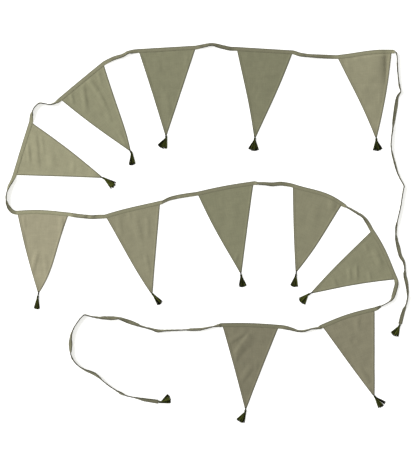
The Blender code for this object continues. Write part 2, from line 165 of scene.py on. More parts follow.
def clothNodes(tree, uvName, cloth, shade, faded):
    uv = addNode(tree, "ShaderNodeUVMap", {"uv_map": uvName}).outputs["UV"]
    bands = {
        "Vector": uv,
        "Scale": waveTurn / (cloth["threadSpacing"] * mm),
        "Distortion": cloth["threadBend"],
        "Detail": 1.0,
        "Detail Scale": 2.0,
    }
    threads = []
    for direction in ("X", "Y"):
        wave = addNode(
            tree,
            "ShaderNodeTexWave",
            {"wave_type": "BANDS", "bands_direction": direction, "wave_profile": "SIN"},
            bands,
        )
        threads.append(wave.outputs["Fac"])
    weave = addNode(tree, "ShaderNodeMath", {"operation": "MULTIPLY"}, {0: threads[0], 1: threads[1]})
    across = 1 / (cloth["slubWidth"] * mm)
    along = 1 / (cloth["slubLength"] * mm)
    slubs = []
    for scale in ((across, along, 1.0), (along, across, 1.0)):
        stretch = addNode(tree, "ShaderNodeMapping", {}, {"Vector": uv, "Scale": scale})
        streak = addNode(
            tree,
            "ShaderNodeTexNoise",
            {},
            {"Vector": stretch.outputs[0], "Scale": 1.0, "Detail": 2.0, "Roughness": 0.6},
        )
        slubs.append(streak.outputs["Fac"])
    slub = addNode(tree, "ShaderNodeMath", {"operation": "ADD"}, {0: slubs[0], 1: slubs[1]})
    wash = addNode(
        tree,
        "ShaderNodeTexNoise",
        {},
        {"Vector": uv, "Scale": 1 / (cloth["washPatch"] * mm), "Detail": 3.0, "Roughness": 0.55},
    )
    tone = cloth["toneStart"]
    for pattern, share in ((slub, "slubTone"), (wash, "washTone"), (weave, "weaveTone")):
        sumNode = addNode(
            tree,
            "ShaderNodeMath",
            {"operation": "MULTIPLY_ADD", "use_clamp": pattern is weave},
            {0: pattern.outputs[0], 1: cloth[share], 2: tone},
        )
        tone = sumNode.outputs[0]
    colour = addNode(
        tree,
        "ShaderNodeMix",
        {"data_type": "RGBA"},
        {
            0: tone,
            6: tonedColour(cloth, cloth["deepThread"] * shade, faded),
            7: tonedColour(cloth, cloth["paleThread"] * shade, faded),
        },
    )
    relief = addNode(
        tree,
        "ShaderNodeMath",
        {"operation": "MULTIPLY_ADD"},
        {0: slub.outputs[0], 1: cloth["slubTone"], 2: weave.outputs[0]},
    )
    bumpValues = {
        "Strength": cloth["reliefStrength"],
        "Distance": cloth["relief"] * mm,
        "Height": relief.outputs[0],
    }
    bump = addNode(tree, "ShaderNodeBump", {}, bumpValues)
    return colour.outputs[2], bump.outputs[0], wash.outputs["Fac"]


def edgeMask(tree, attribute, near, far):
    # 1 at the edge, falling to 0 where the attribute, metres from the edge, passes far
    gap = addNode(tree, "ShaderNodeAttribute", {"attribute_name": attribute})
    mask = addNode(
        tree,
        "ShaderNodeMapRange",
        {"interpolation_type": "SMOOTHSTEP"},
        {"Value": gap.outputs["Fac"], 1: near * mm, 2: far * mm, 3: 1.0, 4: 0.0},
    )
    return mask.outputs[0]


def makeClothMaterial(name, cloth, shade, faded, uvName, darkEdges, shadeAttribute=None):
    # shade and faded are a piece's own tone, and shadeAttribute gives a shade that changes along it,
    # which on the tape holds painted light and shade as well
    material, tree, shader = newFabric(name, cloth)
    colour, normal, wash = clothNodes(tree, uvName, cloth, shade, faded)
    # each entry paints a darker colour towards one edge, mostly painted shade where edges round down
    for attribute, near, far, strength in darkEdges:
        mask = edgeMask(tree, attribute, near, far)
        amount = addNode(tree, "ShaderNodeMath", {"operation": "MULTIPLY"}, {0: mask, 1: strength})
        darker = addNode(
            tree,
            "ShaderNodeMix",
            {"data_type": "RGBA"},
            {0: amount.outputs[0], 6: colour, 7: tonedColour(cloth, cloth["paintedEdgeShade"] * shade, faded)},
        )
        colour = darker.outputs[2]
    if shadeAttribute:
        local = addNode(tree, "ShaderNodeAttribute", {"attribute_name": shadeAttribute})
        product = addNode(
            tree,
            "ShaderNodeMix",
            {"data_type": "RGBA", "blend_type": "MULTIPLY"},
            {0: 1.0, 6: colour, 7: local.outputs["Color"]},
        )
        colour = product.outputs[2]
    tree.links.new(colour, shader.inputs["Base Color"])
    smoothest, roughest = (cloth["roughness"] + change for change in cloth["roughnessSpread"])
    rough = addNode(tree, "ShaderNodeMapRange", {}, {"Value": wash, 3: smoothest, 4: roughest})
    tree.links.new(rough.outputs[0], shader.inputs["Roughness"])
    tree.links.new(normal, shader.inputs["Normal"])
    return material


# Two-ply cotton yarn, dyed dark olive: matt with a slight silky lift on the strands' crowns,
# each strand a little greener or browner than its neighbours, and on the tassels darker or
# paler by painted shade and light.
tasselYarn = {
    "deep": "#080A03",
    "bright": "#5C632A",
    "roughness": 0.8,
    "shine": 0.06,
    "sheen": 0.03,
    "sheenRoughness": 0.4,
    "patch": 9.0,  # size of the patches where the dye took unevenly
    "patchTone": 0.6,
    "toneStart": -0.33,
    "fibre": 0.7,  # really about 0.02 mm, drawn coarser so that the yarn looks spun
    "plyTurn": 2.4,  # millimetres along a strand for one turn of its plies
    "plyShare": 0.8,  # how much of the relief the plies bring
    "relief": 0.25,
    "reliefStrength": 0.6,
}


def makeYarnMaterial(name, yarn, deep, bright):
    material, tree, shader = newFabric(name, yarn)
    tone = addNode(tree, "ShaderNodeAttribute", {"attribute_name": "strandTone"})
    place = addNode(tree, "ShaderNodeTexCoord").outputs["Object"]
    patterns = []
    for size, roughness in ((yarn["patch"], 0.6), (yarn["fibre"], 0.7)):
        spots = addNode(
            tree,
            "ShaderNodeTexNoise",
            {},
            {"Vector": place, "Scale": 1 / (size * mm), "Detail": 2.0, "Roughness": roughness},
        )
        patterns.append(spots.outputs["Fac"])
    patch, fibre = patterns
    blend = addNode(
        tree,
        "ShaderNodeMath",
        {"operation": "MULTIPLY_ADD"},
        {0: patch, 1: yarn["patchTone"], 2: yarn["toneStart"]},
    )
    blend = addNode(
        tree,
        "ShaderNodeMath",
        {"operation": "ADD", "use_clamp": True},
        {0: blend.outputs[0], 1: tone.outputs["Fac"]},
    )
    colour = addNode(
        tree,
        "ShaderNodeMix",
        {"data_type": "RGBA"},
        {0: blend.outputs[0], 6: toLinear(deep), 7: toLinear(bright)},
    )
    tree.links.new(colour.outputs[2], shader.inputs["Base Color"])
    run = addNode(tree, "ShaderNodeAttribute", {"attribute_name": "strandRun"})
    twist = addNode(
        tree,
        "ShaderNodeTexWave",
        {"wave_type": "BANDS", "bands_direction": "DIAGONAL"},
        {"Vector": run.outputs["Vector"], "Scale": waveTurn / (yarn["plyTurn"] * mm)},
    )
    relief = addNode(
        tree,
        "ShaderNodeMath",
        {"operation": "MULTIPLY_ADD"},
        {0: twist.outputs["Fac"], 1: yarn["plyShare"], 2: fibre},
    )
    bumpValues = {
        "Strength": yarn["reliefStrength"],
        "Distance": yarn["relief"] * mm,
        "Height": relief.outputs[0],
    }
    bump = addNode(tree, "ShaderNodeBump", {}, bumpValues)
    tree.links.new(bump.outputs[0], shader.inputs["Normal"])
    return material


# start and end are where a pennant's sides meet the tape's outer edge, in order along the tape.
# A bow is how far a side or the top bulges outwards and its peak is where it is greatest.
# shade is how pale it is drawn, faded is how far it has gone from sage to a warm grey, and
# uneven is how rumpled it lies.
pennantKeys = (
    "start", "end", "tip", "startBow", "startPeak", "endBow", "endPeak", "topBow", "topPeak",
    "shade", "faded", "uneven",
)
pennants = [dict(zip(pennantKeys, row)) for row in (
    ((554, 550), (393, 534), (508, 288), 5.0, 0.50, -3.5, 0.62, 3.5, 0.35, 1.02, 0.6, 1.3),
    ((257, 548), (92, 558), (145, 288), 3.0, 0.40, -3.0, 0.60, 0.0, 0.50, 0.785, 0.0, 1.5),
    ((-35, 562), (-203, 552), (-122, 295), 0.0, 0.50, -1.0, 0.50, 0.0, 0.50, 0.87, 0.0, 1.7),
    ((-315, 511), (-442, 406), (-231, 249), 3.0, 0.75, 3.0, 0.45, 0.5, 0.50, 1.04, 0.1, 1.3),
    ((-533, 333), (-581, 177), (-317, 168), 3.5, 0.50, -0.5, 0.60, 0.5, 0.50, 1.24, 0.4, 1.3),
    ((-568, 67), (-415, 62), (-504, -177), 3.0, 0.50, 8.0, 0.70, 4.5, 0.45, 1.29, 1.0, 1.0),
    ((-304, 56), (-143, 96), (-165, -180), 3.0, 0.65, -0.5, 0.70, 2.0, 0.40, 1.0, 0.6, 1.0),
    ((-28, 124), (138, 155), (102, -118), 4.0, 0.42, -0.5, 0.50, 2.4, 0.50, 0.85, 0.0, 0.9),
    ((262, 147), (410, 91), (269, -114), 1.5, 0.50, 4.5, 0.60, 8.5, 0.62, 0.88, 0.4, 0.5),
    ((501, 10), (572, -135), (317, -178), 2.5, 0.60, -4.0, 0.45, 5.0, 0.42, 0.91, 0.2, 1.5),
    ((501, -223), (345, -274), (501, -486), 0.0, 0.50, 1.0, 0.60, 5.0, 0.50, 0.84, 0.9, 2.2),
    ((215, -275), (48, -270), (117, -525), -1.0, 0.50, -1.0, 0.50, 2.5, 0.50, 0.73, 0.9, 1.6),
)]

# Soft creases by pennant, each a low ridge along a line: its lower and upper end, how far it
# slopes away on the left and on the right of the line, its height, and 1 where its right foot
# is a sharp valley or 2 where it runs out softly
creases = {
    1: [
        ((515, 448), (513, 604), 105, 23, 8.2, 1),
        ((546, 440), (556, 540), 10, 12, 1.6, 2),
        ((476, 398), (470, 440), 24, 20, 1.0, 2),
        ((430, 470), (424, 512), 12, 10, 0.9, 2),
    ],
    2: [((126, 470), (222, 476), 16, 11, 0.9, 2), ((160, 400), (172, 440), 20, 18, 0.8, 2)],
    3: [
        ((-112, 346), (-122, 424), 22, 13, 1.3, 2),
        ((-61, 494), (-57, 530), 13, 8, 1.4, 2),
        ((-170, 436), (-180, 474), 8, 11, 1.3, 2),
        ((-140, 480), (-148, 522), 16, 12, 0.8, 2),
    ],
    4: [
        ((-326, 423), (-355, 459), 10, 14, 3.9, 2),
        ((-301, 376), (-325, 424), 13, 9, 2.3, 2),
        ((-361, 370), (-372, 446), 13, 11, 2.9, 2),
        ((-352, 474), (-362, 488), 8, 7, 1.2, 2),
        ((-399, 386), (-408, 422), 9, 7, 2.2, 2),
        ((-316, 450), (-327, 486), 7, 7, 1.5, 2),
        ((-240, 260), (-263, 302), 8, 10, 1.5, 2),
        ((-286, 330), (-300, 372), 12, 9, 1.1, 2),
    ],
    5: [
        ((-503, 192), (-514, 300), 19, 8, 2.0, 2),
        ((-488, 238), (-496, 294), 8, 8, 1.2, 2),
        ((-531, 214), (-536, 264), 9, 7, 2.0, 2),
        ((-558, 208), (-561, 247), 9, 7, 1.7, 2),
        ((-399, 174), (-400, 224), 15, 9, 1.2, 2),
        ((-462, 190), (-470, 264), 18, 16, 1.5, 2),
    ],
    6: [
        ((-524, -120), (-508, -56), 12, 11, 2.1, 2),
        ((-436, -2), (-433, 48), 15, 8, 2.4, 2),
        ((-546, -66), (-553, 2), 8, 10, 1.2, 2),
        ((-546, 10), (-549, 52), 6, 7, 1.1, 2),
        ((-478, -140), (-486, -60), 10, 12, 1.0, 2),
    ],
    7: [
        ((-196, -30), (-215, 56), 22, 12, 1.9, 2),
        ((-257, -12), (-264, 54), 15, 12, 1.6, 2),
        ((-230, 42), (-234, 66), 8, 8, 1.4, 2),
        ((-175, -12), (-178, 52), 11, 10, 1.4, 2),
        ((-172, -120), (-184, -60), 10, 9, 1.1, 2),
    ],
    8: [((84, -90), (93, -62), 8, 8, 1.0, 2), ((72, 10), (84, 96), 26, 22, 1.0, 2)],
    9: [((375, 66), (378, 112), 17, 17, 3.0, 2), ((316, 18), (330, 96), 24, 20, 1.2, 2)],
    10: [
        ((524, -100), (504, -56), 14, 14, 3.1, 2),
        ((482, -54), (473, -33), 9, 9, 1.7, 2),
        ((557, -126), (549, -101), 9, 7, 1.4, 2),
        ((430, -140), (427, -106), 10, 8, 1.9, 2),
        ((451, -140), (449, -94), 8, 7, 1.9, 2),
        ((492, -143), (486, -117), 9, 8, 1.7, 2),
        ((391, -159), (378, -137), 9, 9, 1.5, 2),
    ],
    11: [
        ((489, -452), (451, -402), 13, 15, 2.8, 2),
        ((452, -282), (454, -254), 13, 10, 1.6, 2),
        ((430, -352), (424, -300), 22, 18, 1.0, 2),
    ],
    12: [
        ((66, -330), (118, -297), 14, 9, 2.0, 2),
        ((84, -366), (106, -335), 12, 22, 4.3, 2),
        ((105, -335), (130, -302), 10, 30, 3.4, 2),
        ((101, -446), (138, -396), 15, 13, 2.0, 2),
        ((88, -387), (91, -366), 9, 8, 1.3, 2),
        ((150, -314), (190, -324), 10, 10, 0.8, 2),
        ((150, -410), (149, -386), 9, 8, 1.0, 2),
    ],
}
creaseEndDrop = 0.7  # how much lower a crease is at its ends

tapeWidth = 11.7  # millimetres, folded

# The cloth's rows of points start inside the tape and close up where the cloth leaves it, and
# its columns close up along both seams. All sizes are in millimetres.
pennantMake = {
    "thickness": 1.0,
    "tipWidth": 6.0,
    "insideRows": (2.5, 5.0, 8.0),  # in from the tape's outer edge
    "tapeRows": (0.0, 0.7, 1.8, 3.2, 5.0, 7.0),  # out from the tape's inner edge
    "seamColumns": (0.0, 0.35, 0.9, 1.8, 3.2, 4.8, 6.2, 7.4),
    "seamNarrowing": 40.0,  # where the pennant is narrower than this, so are the columns
    "rows": 92,
    "columns": 56,
    "seatHeight": 0.55,  # the cloth rises this much to pass between the tape's layers
    "landing": 8.5,  # how far from the tape it has come down to the floor
    "throughTape": 0.4,  # how much of a crease's height carries on through the tape
    "foldStart": 9.0,  # creases and ripples are full this far from the tape
    "foldStop": 25.0,  # and begin to fade this far from the tip
    "seamWidth": 6.2,  # the turned allowance along both sides
    "seamRise": 0.55,
    "seamStart": 1.6,
    "seamFade": 1.2,
    "seamFromTape": (1.0, 6.0),  # where the allowance comes out of the tape, and over how far
    "rimWidth": 0.9,  # the edges are rounded over this width
    "rimTop": 0.6,  # how high the top is at the very edge, as a share of the thickness
    "rimUnder": 0.25,  # how high the underside is there
    "ripple": 0.7,  # the slight unevenness of washed cloth
    "rippleFloor": 0.6,
    "rippleSize": 46.0,
    "fineRipple": 0.42,
    "fineSize": 0.35,  # of the ripple's own size
    "rippleDrift": (7.3, 3.1, 0.0),  # so that no two pennants have the same ripples
    # where the cloth is drawn darker: along which edge, from how near to how far, and how much.
    # Along the seams it is painted shade where the turned edges round down, along the tape a
    # painted shadow of the tape's inner edge, and towards the tip it is simply darker
    "darkEdges": (("seamGap", 0.9, 4.3, 0.95), ("tapeGap", 0.0, 2.0, 0.15), ("tipGap", 4.0, 32.0, 0.26)),
}
slopeStep = 0.02  # how far apart the top's slope is measured, as a share of its length


def pennantSide(pennant):
    # 1 where the pennant hangs on the left of the way from its start to its end
    along = Vector(pennant["end"]) - Vector(pennant["start"])
    return 1 if along.cross(Vector(pennant["tip"]) - Vector(pennant["start"])) > 0 else -1


def bulge(share, peak):
    # a bow from 0 at both ends to 1 at its peak
    if peak < 0.5:
        return bulge(1 - share, 1 - peak)
    inside = min(max(share, 0.0), 1.0)
    return math.sin(math.pi * inside ** (math.log(0.5) / math.log(peak)))


def topFrame(pennant, share):
    # a place on the tape's outer edge and the direction from there into the cloth
    start = Vector(pennant["start"])
    along = Vector(pennant["end"]) - start
    direction = along.normalized()
    intoCloth = Vector((-direction.y, direction.x)) * pennantSide(pennant)
    inside = min(max(share, slopeStep), 1 - slopeStep)
    ahead = bulge(inside + slopeStep, pennant["topPeak"])
    behind = bulge(inside - slopeStep, pennant["topPeak"])
    slope = pennant["topBow"] * (ahead - behind) / (2 * slopeStep * along.length)
    place = start + along * share - intoCloth * pennant["topBow"] * bulge(share, pennant["topPeak"])
    return place, (intoCloth + direction * slope).normalized()


def topLine(pennant, share, inward):
    # inward is millimetres from the tape's outer edge into the cloth
    place, intoCloth = topFrame(pennant, share)
    return place + intoCloth * inward


def tapeTravel(pennant, share):
    # the way the tape runs there
    left = topFrame(pennant, share)[1] * pennantSide(pennant)
    return Vector((left.y, -left.x))


def creaseHeight(number, place):
    # how high the creases of pennant number lift the cloth there
    height = 0.0
    for lower, upper, leftWidth, rightWidth, rise, foot in creases[number]:
        run = Vector(upper) - Vector(lower)
        offset = place - Vector(lower)
        along = offset.dot(run) / run.length_squared
        across = run.cross(offset) / run.length
        inside = min(max(along, 0.0), 1.0)
        beyond = abs(along - inside) * run.length * 2 / (leftWidth + rightWidth)
        away = (across / (leftWidth if across > 0 else rightWidth)) ** 2 + beyond ** 2
        if away < 1:
            ends = 1 - creaseEndDrop * abs(2 * inside - 1) ** 3
            height += rise * ends * (1 - away) ** (2 if across > 0 else foot)
    return height


def pennantEdges(pennant, fall, mouth):
    # where the two sides are, for a share of the way from the tape's inner edge to the tip
    tip = Vector(pennant["tip"])
    tipSide = (mouth[1] - mouth[0]).normalized() * pennantMake["tipWidth"] / 2
    sides = []
    for corner, farCorner, end, bow, peak in (
        (mouth[0], mouth[1], tip - tipSide, pennant["startBow"], pennant["startPeak"]),
        (mouth[1], mouth[0], tip + tipSide, pennant["endBow"], pennant["endPeak"]),
    ):
        run = end - corner
        outward = run.orthogonal().normalized()
        if outward.dot(farCorner - corner) > 0:
            outward = -outward
        sides.append(corner + run * fall + outward * bow * bulge(fall, peak))
    return sides


def columnShares(width, make):
    # narrow columns along both seams, even ones between
    narrowing = min(1.0, width / make["seamNarrowing"])
    edge = [gap * narrowing / width for gap in make["seamColumns"]]
    inner = make["columns"] - 2 * len(edge)
    middle = [mixed(edge[-1], 1 - edge[-1], (at + 1) / (inner + 1)) for at in range(inner)]
    return edge + middle + [1 - share for share in reversed(edge)]


def inFixedOrder(bm):
    # the extrusion makes its parts in a different order each time, and every run should give the
    # same mesh
    def middle(part):
        corners = [part] if isinstance(part, bmesh.types.BMVert) else part.verts
        return tuple(sum((corner.co for corner in corners), Vector()) / len(corners))

    for parts in (bm.verts, bm.edges, bm.faces):
        for index, part in enumerate(sorted(parts, key=middle)):
            part.index = index
        parts.sort()


def makePennant(number, pennant, make):
    mouth = [topLine(pennant, share, tapeWidth) for share in (0.0, 1.0)]
    height = (Vector(pennant["tip"]) - (mouth[0] + mouth[1]) / 2).length
    insideRows = make["insideRows"]
    fromTape = [*make["tapeRows"], make["landing"]]
    rowsLeft = make["rows"] - len(insideRows) - len(fromTape)
    fromTape += [mixed(make["landing"], height, (at + 1) / rowsLeft) for at in range(rowsLeft)]
    bm = bmesh.new()
    columns = make["columns"]
    bmesh.ops.create_grid(bm, x_segments=columns - 1, y_segments=make["rows"] - 1, size=0.5)
    seamGap = bm.verts.layers.float.new("seamGap")
    tapeGap = bm.verts.layers.float.new("tapeGap")
    tipGap = bm.verts.layers.float.new("tipGap")
    start = Vector(pennant["start"])
    direction = (Vector(pennant["end"]) - start).normalized()
    flatOf = {}
    drift = Vector(make["rippleDrift"]) * number
    for vert in bm.verts:
        row = round((vert.co.y + 0.5) * (make["rows"] - 1))
        column = round((vert.co.x + 0.5) * (columns - 1))
        if row < len(insideRows):
            topWidth = (mouth[1] - mouth[0]).length
            share = columnShares(topWidth, make)[column]
            place = topLine(pennant, share, insideRows[row])
            width, below = topWidth, 0.0
            lift = make["seatHeight"] + make["throughTape"] * creaseHeight(number, place)
        else:
            below = fromTape[row - len(insideRows)]
            fall = below / height
            sides = pennantEdges(pennant, fall, mouth)
            width = (sides[1] - sides[0]).length
            share = columnShares(width, make)[column]
            crown = topLine(pennant, share, tapeWidth) - mouth[0].lerp(mouth[1], share)
            place = sides[0].lerp(sides[1], share) + crown * (1 - fall) ** 2
            ease = smooth(below / make["foldStart"]) * smooth((height - below) / make["foldStop"])
            swell = noise.noise(Vector((*place, 0.0)) / make["rippleSize"] + drift)
            fine = noise.noise(Vector((*place, 5.0)) / (make["rippleSize"] * make["fineSize"]) + drift)
            ripples = make["rippleFloor"] + swell + make["fineRipple"] * fine
            uneven = make["ripple"] * pennant["uneven"] * ripples
            lift = make["seatHeight"] * (1 - smooth(below / make["landing"]))
            fullness = mixed(make["throughTape"], 1.0, smooth(below / make["foldStart"]))
            fullness *= smooth((height - below) / make["foldStop"])
            lift += fullness * creaseHeight(number, place) + ease * max(uneven, 0.0)
        gap = min(share, 1 - share) * width
        vert[seamGap] = gap * mm
        vert[tapeGap] = below * mm
        vert[tipGap] = (height - below) * mm
        vert.co = Vector((*place, lift))
        offset = place - start
        flatOf[vert] = (offset.dot(direction) * mm, offset.cross(direction) * mm)
    uvLayer = bm.loops.layers.uv.new("clothUv")
    for face in bm.faces:
        for loop in face.loops:
            loop[uvLayer].uv = flatOf[loop.vert]
    lifted = bmesh.ops.extrude_face_region(bm, geom=bm.faces[:])["geom"]
    top = {item for item in lifted if isinstance(item, bmesh.types.BMVert)}
    seamFrom, seamOver = make["seamFromTape"]
    for vert in bm.verts:
        fromSeam = vert[seamGap] / mm
        rim = smooth(fromSeam / make["rimWidth"])
        if vert in top:
            allowance = smooth(fromSeam / make["seamStart"])
            allowance *= 1 - smooth((fromSeam - make["seamWidth"]) / make["seamFade"])
            beyondTape = smooth((vert[tapeGap] / mm - seamFrom) / seamOver)
            vert.co.z += make["thickness"] * mixed(make["rimTop"], 1.0, rim)
            vert.co.z += make["seamRise"] * allowance * beyondTape
        else:
            vert.co.z += make["thickness"] * make["rimUnder"] * (1 - rim)
        vert.co = inFrame(vert.co)
    inFixedOrder(bm)
    bmesh.ops.recalc_face_normals(bm, faces=bm.faces)
    return bm


def finishPiece(bm, name, material, nodes):
    # nodes are the solids that the piece stands for
    mesh = bpy.data.meshes.new(name)
    bm.to_mesh(mesh)
    bm.free()
    mesh.shade_smooth()
    mesh.materials.append(material)
    piece = bpy.data.objects.new(name, mesh)
    bpy.context.scene.collection.objects.link(piece)
    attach(piece, "root")
    if nodes:
        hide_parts(*nodes)
    return piece


for number, pennant in enumerate(pennants, start=1):
    name = f"pennantCloth{number:02d}"
    material = makeClothMaterial(
        f"washedSageCotton{number:02d}",
        cottonCloth,
        pennant["shade"],
        pennant["faded"],
        "clothUv",
        pennantMake["darkEdges"],
    )
    bm = makePennant(number, pennant, pennantMake)
    piece = finishPiece(bm, name, material, [f"pennant_{number:02d}"])
print("12 pennants made")

# The tape's route starts at the right tie's tassel and ends at the left tie's. Its loose runs
# are (x, y, roll): roll is the tape's turn about its own length in degrees, flat at 0, 180 and
# 360 and on edge at 90. The fold is on the right of its travel at 0.
rightTie = [
    (580, -273, 20), (585, -252, 17), (591, -231, 34), (597, -216, 69), (602, -195, 68),
    (602, -171, 50), (598, -144, 32), (594, -126, 36), (594, -108, 67), (591, -87, 52),
    (581, -69, 32), (575, -45, 21), (569, -21, 45), (567, 0, 68), (568, 18, 58), (572, 39, 79),
    (581, 78, 76), (584, 99, 82), (589, 129, 84), (591, 141, 75), (580, 162, 74), (572, 180, 69),
    (565, 204, 58), (557, 234, 64), (552, 262, 88), (557, 309, 71), (562, 345, 38),
    (568, 384, 26), (572, 408, 54), (581, 424, 79), (578, 438, 63), (574, 465, 75),
    (571, 504, 72), (570, 530, 81), (567, 541, 82),
]
# the loose run after each pennant
gapRuns = {
    1: [(355, 529, 12), (304, 532, 32), (277, 536, 12)],
    2: [(70, 553, 10), (43, 559, 10), (16, 565, 41), (-14, 560, 25)],
    3: [(-221, 544, 15), (-236, 541, 39), (-252, 532, 28), (-278, 524, 18)],
    4: [(-455, 389, 62), (-470, 385, 84), (-488, 388, 84), (-501, 389, 73), (-513, 380, 78),
        (-521, 367, 80), (-525, 352, 35)],
    5: [(-583, 157, 35), (-592, 141, 49), (-598, 123, 80), (-601, 105, 72), (-597, 87, 112),
        (-590, 73, 146), (-581, 64, 158)],
    6: [(-395, 53, 168), (-368, 50, 160), (-344, 48, 202), (-323, 49, 176)],
    7: [(-130, 94, 232), (-116, 101, 218), (-95, 107, 204), (-62, 113, 196)],
    8: [(154, 149, 128), (175, 148, 141), (196, 146, 163), (223, 148, 166)],
    9: [(420, 78, 110), (433, 71, 118), (451, 60, 125), (467, 50, 128), (481, 33, 158)],
    10: [(569, -153, 215), (565, -171, 201), (560, -187, 217), (554, -200, 256), (542, -209, 281),
         (526, -217, 272), (518, -221, 312)],
    11: [(334, -284, 428), (313, -287, 443), (292, -293, 433), (274, -293, 430), (253, -287, 409),
         (235, -283, 384)],
}
leftTie = [
    (34, -277, 420), (19, -280, 447), (1, -284, 436), (-20, -288, 421), (-41, -289, 419),
    (-68, -290, 447), (-98, -291, 442), (-128, -292, 435), (-146, -293, 408), (-163, -288, 430),
    (-182, -283, 441), (-197, -279, 435), (-212, -273, 405), (-230, -267, 374), (-248, -260, 403),
    (-263, -255, 426), (-284, -255, 388), (-305, -254, 404), (-326, -253, 436), (-350, -249, 450),
    (-366, -245, 448), (-375, -252, 448), (-389, -270, 446), (-401, -291, 441), (-407, -312, 419),
    (-408, -333, 383), (-408, -351, 413), (-407, -363, 445), (-401, -378, 450), (-386, -396, 442),
    (-365, -410, 424), (-350, -416, 404), (-335, -423, 400), (-323, -432, 419), (-311, -443, 437),
    (-290, -459, 448), (-272, -471, 434), (-257, -480, 412), (-239, -488, 436), (-224, -491, 444),
    (-206, -495, 420), (-185, -500, 391), (-164, -503, 379), (-145, -506, 368),
]
tapeMake = {
    "width": tapeWidth,
    "looseWiden": 1.04,  # a loose run is not pressed, and lies a little wider
    "looseThickness": 2.7,
    "looseGap": 1.0,  # between the two layers, which spring a little apart where nothing holds them
    "seatThickness": 2.1,
    "seatGap": 1.2,
    "seatEnd": 3.0,  # how far the open part runs on past a pennant's corner
    "seatStations": 8,
    "step": 3.0,  # between the sections, and rollStep degrees where it twists faster
    "rollStep": 8.0,
    "foldRound": 1.5,
    "stitchIn": 1.9,  # the row of stitches, in from the open edge
    "stitchSink": 0.22,
    "stitchDent": 0.7,
    "layerEdge": 0.25,
    "foldInside": (0.75, 1.2),  # where the hollow starts and is full, in from the fold
    "plump": 0.05,  # the layers' slight swell between the stitches and the fold
    # the right tie, the run after each pennant and the left tie, as shares of the cotton's colour.
    # These hold painted light and shade as well as the cloth's tone: a run turned away from the
    # key light is drawn paler
    "looseShades": (0.77, 0.68, 0.6, 0.75, 0.78, 0.92, 0.96, 1.04, 0.62, 0.79, 0.6, 0.64, 0.64),
    # painted shade and light that stand in for the loose runs' twists: how far their tone wanders
    "paintedTwistShade": 0.24,  # how much the twisted runs' shade wanders
    "wanderSections": 5.0,  # over how many sections
    "shadeReach": 9.0,  # moves the open edge's dark line off the cloth where it holds a pennant
    "crumple": 0.8,  # how far a loose run is crumpled, and its size along and across
    "crumpleSize": (7.0, 6.0),
    "crimp": 0.16,  # the slight unevenness of the whole strip, and its size
    "crimpSize": (9.0, 6.0, 3.0),
    # painted shade: dark lines along the rounded fold, at the open edge, in the dent of the stitch row, and
    # along a loose run's open edge
    "darkEdges": (
        ("foldGap", 0.8, 3.3, 0.95),
        ("openGap", 0.0, 1.3, 0.35),
        ("stitchGap", 0.2, 0.8, 0.2),
        ("looseOpenGap", 0.6, 2.8, 0.9),
    ),
}
sectionKeys = ("place", "roll", "opened", "shade", "number")


def tapeStations(make):
    # (place, roll, opened, shade, the pennant's number or 0)
    route = [(Vector((x, y)), roll, 0, make["looseShades"][0], 0) for x, y, roll in rightTie]
    for number, pennant in enumerate(pennants, start=1):
        # the tape has turned over once before pennant 6 and once more before pennant 11
        halfTurns = 0 if number < 6 else 1 if number < 11 else 2
        count = make["seatStations"]
        seat = [topLine(pennant, step / count, make["width"] / 2) for step in range(count + 1)]
        seat.insert(0, seat[0] - tapeTravel(pennant, 0.0) * make["seatEnd"])
        seat.append(seat[-1] + tapeTravel(pennant, 1.0) * make["seatEnd"])
        route += [(place, 180 * halfTurns, 1, pennant["shade"], number) for place in seat]
        shade = make["looseShades"][number]
        route += [(Vector((x, y)), roll, 0, shade, 0) for x, y, roll in gapRuns.get(number, leftTie)]
    return route


def curvePlace(before, start, end, after, share):
    # a smooth curve through the stations, without overshoot where they are unevenly apart
    knots = [0.0]
    for first, second in ((before, start), (start, end), (end, after)):
        knots.append(knots[-1] + math.sqrt((second - first).length))
    at = knots[1] + share * (knots[2] - knots[1])

    def between(lowPlace, highPlace, low, high):
        return lowPlace.lerp(highPlace, (at - knots[low]) / (knots[high] - knots[low]))

    first = between(before, start, 0, 1)
    second = between(start, end, 1, 2)
    third = between(end, after, 2, 3)
    return between(between(first, second, 0, 2), between(second, third, 1, 3), 1, 2)


